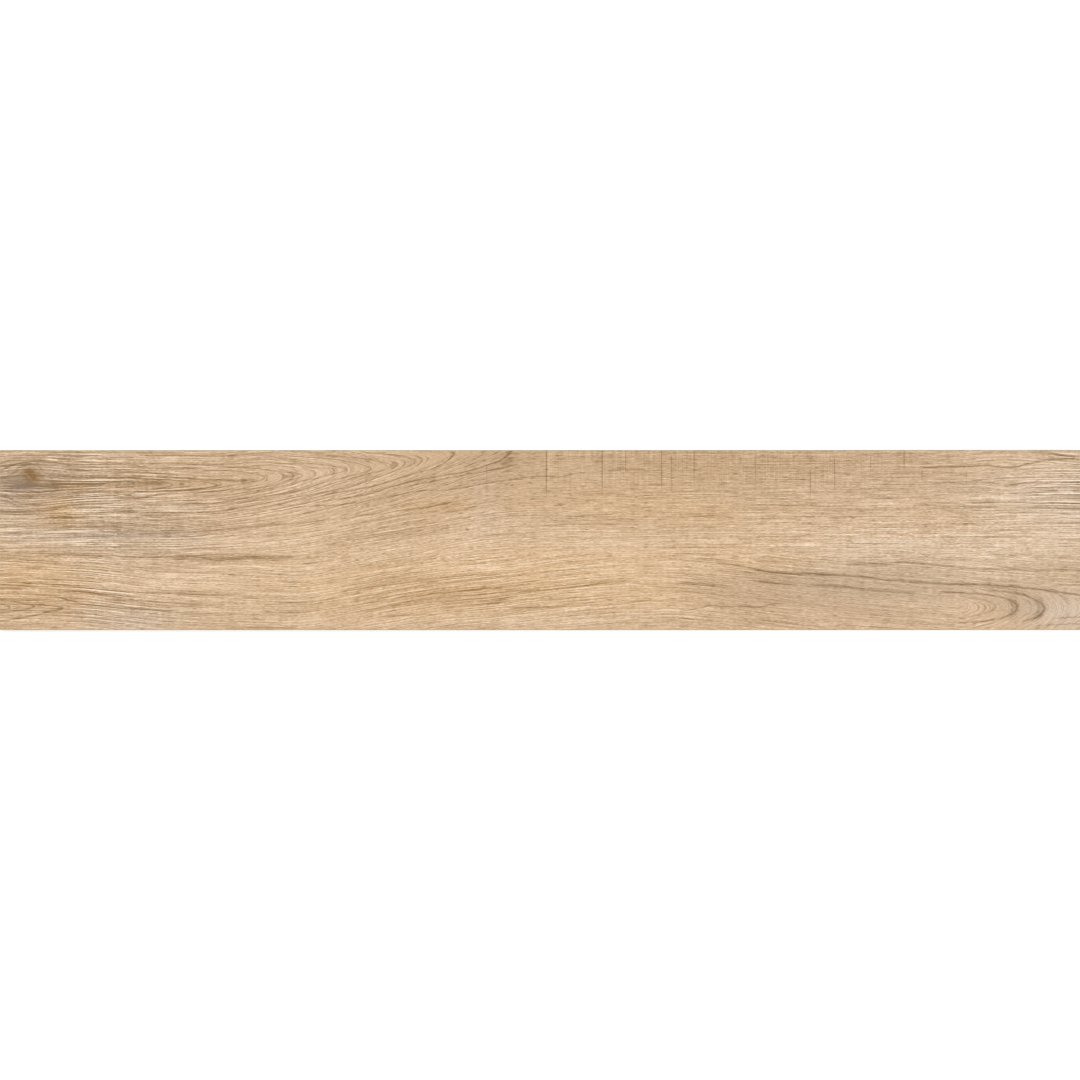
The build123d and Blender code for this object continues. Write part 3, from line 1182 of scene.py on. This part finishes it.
def pressed_back(colours):
    """Porcelain body as pressed and fired: chalky, with kiln wash rubbed on the ribs."""
    material = new_material("pressed porcelain back")
    tree = material.node_tree
    place = add_node(tree, "ShaderNodeTexCoord")["Object"]
    z = add_node(tree, "ShaderNodeSeparateXYZ", {0: place})[2]
    clouds = map_range(tree, stretched_noise(tree, place, 3 * [CLOUD_SIZE], 4), *CLOUD_NOISE)
    grit = stretched_noise(tree, place, 3 * [GRIT_SIZE], 3)
    rubbed = map_range(tree, z, WASH_HEIGHT * MM, 0.0, *WASH_SHARES)
    wash = math_node(tree, "MULTIPLY", clouds, rubbed)
    wash = math_node(tree, "MULTIPLY_ADD", grit, GRIT_SHARE, wash)
    colour = add_node(tree, "ShaderNodeMix",
                      {0: wash, 6: opaque(colours.back), 7: opaque(colours.kiln_wash)}, data_type="RGBA")[2]
    fire(tree, colour, grit, *PRESSED_SURFACE)
    return material


class PLANK_OT_make_plank(bpy.types.Operator):
    """Models the tile as one pressed slab, and gives it its print and finishes"""

    bl_idname = "plank.make_plank"
    bl_label = "Make plank"

    def execute(self, context):
        sizes, colours = context.scene.plank_sizes, context.scene.plank_colours
        slab = model_slab(sizes)
        cut_key_cells(slab, sizes)
        divide_face(slab)
        places = vertex_places(slab)
        layout = print_layout(places[:, 0] / MM, places[:, 1] / MM)
        press_relief(slab, layout, sizes)
        store_layout(slab, layout)
        for material in (printed_glaze(colours, layout), ground_body(colours), pressed_back(colours)):
            slab.data.materials.append(material)
        assign_finishes(slab)
        unfold(slab)
        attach(slab, TILE_BODY)
        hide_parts(TILE_NODE)
        return {"FINISHED"}


# Stage

# Width of the camera's sensor in millimetres
SENSOR = 36.0

# The floor's side in metres: it ends where the lamps still light it to white, so that it meets the white
# backdrop unseen. Its own glow, which only shows and lights nothing, lifts it to white round the tile and
# leaves the tile's shadow.
FLOOR_SIDE = 4.6
FLOOR_LIFT = 0.36

# Square lamps: name, place and side in metres, power in watts
LAMPS = (("key", (-1.6, 1.4, 2.2), 2.0, 45), ("fill", (1.8, -1.2, 2.0), 2.0, 25))


def shown_directly(tree):
    """1 for what the camera sees, in a sheen or through glass too, and 0 for what only lights the scene."""
    path = add_node(tree, "ShaderNodeLightPath")
    shown = path["Is Camera Ray"]
    for ray in ("Is Glossy Ray", "Is Transmission Ray"):
        shown = math_node(tree, "MAXIMUM", shown, path[ray])
    return shown


class PLANK_OT_set_stage(bpy.types.Operator):
    """Lays the floor, lights it softly and looks straight down on the tile"""

    bl_idname = "plank.set_stage"
    bl_label = "Set stage"

    def execute(self, context):
        stage = context.scene.plank_stage
        deselect_all()
        bpy.ops.mesh.primitive_plane_add(size=FLOOR_SIDE, location=(0, 0, BACK_CORNER.z))
        floor = context.object
        floor.name = "studio_floor"
        material = new_material("pale studio floor")
        tree = material.node_tree
        lift = math_node(tree, "MULTIPLY", shown_directly(tree), FLOOR_LIFT)
        diffuse = add_node(tree, "ShaderNodeBsdfDiffuse", {"Color": opaque(stage.floor)})[0]
        glow = add_node(tree, "ShaderNodeEmission", {"Strength": lift})[0]
        both = add_node(tree, "ShaderNodeAddShader", {0: diffuse, 1: glow})[0]
        add_node(tree, "ShaderNodeOutputMaterial", {"Surface": both})
        floor.data.materials.append(material)

        world = bpy.data.worlds.new("soft studio")
        world.use_nodes = True
        context.scene.world = world
        tree = world.node_tree
        tree.nodes.clear()
        strength = map_range(tree, shown_directly(tree), 0.0, 1.0, stage.sky, 1.0)
        back = add_node(tree, "ShaderNodeBackground", {"Color": (1, 1, 1, 1), "Strength": strength})[0]
        add_node(tree, "ShaderNodeOutputWorld", {"Surface": back})

        for name, place, side, power in LAMPS:
            bpy.ops.object.light_add(type="AREA", location=place)
            lamp = context.object
            lamp.name = name
            lamp.data.shape = "SQUARE"
            lamp.data.size = side
            lamp.data.energy = power
            lamp.rotation_euler = (-lamp.location).to_track_quat("-Z", "Y").to_euler()

        # The frame's width is the flat of the face, so the print fills the picture from side to side
        flat = LENGTH - 2 * context.scene.plank_sizes.face_bevel
        height = FACE_CORNER.z + flat * stage.lens / SENSOR
        bpy.ops.object.camera_add(location=(0, 0, height), rotation=(0, 0, 0))
        camera = context.object
        camera.data.lens = stage.lens
        camera.data.sensor_width = SENSOR
        camera.data.dof.use_dof = False
        context.scene.camera = camera
        context.scene.view_settings.view_transform = "Standard"
        return {"FINISHED"}


class PLANK_PT_sidebar(bpy.types.Panel):
    """The plank's settings and the steps that make it"""

    bl_idname = "PLANK_PT_sidebar"
    bl_label = "Porcelain plank"
    bl_space_type = "VIEW_3D"
    bl_region_type = "UI"
    bl_category = "Plank"

    def draw(self, context):
        scene = context.scene
        for group in (scene.plank_sizes, scene.plank_colours, scene.plank_stage):
            box = self.layout.box()
            for name in group.__annotations__:
                box.prop(group, name)
        for operator in (PLANK_OT_make_plank, PLANK_OT_set_stage):
            self.layout.operator(operator.bl_idname)


CLASSES = (PlankSizes, PlankColours, PlankStage, PLANK_OT_make_plank, PLANK_OT_set_stage, PLANK_PT_sidebar)


def register():
    """Makes the settings, operators and panel known to Blender."""
    for cls in CLASSES:
        bpy.utils.register_class(cls)
    bpy.types.Scene.plank_sizes = bpy.props.PointerProperty(type=PlankSizes)
    bpy.types.Scene.plank_colours = bpy.props.PointerProperty(type=PlankColours)
    bpy.types.Scene.plank_stage = bpy.props.PointerProperty(type=PlankStage)


def unregister():
    """Takes them out again."""
    del bpy.types.Scene.plank_stage
    del bpy.types.Scene.plank_colours
    del bpy.types.Scene.plank_sizes
    for cls in reversed(CLASSES):
        bpy.utils.unregister_class(cls)


def main():
    """Builds the tile and its stage."""
    register()
    bpy.ops.plank.make_plank()
    bpy.ops.plank.set_stage()


if __name__ == "__main__":
    main()
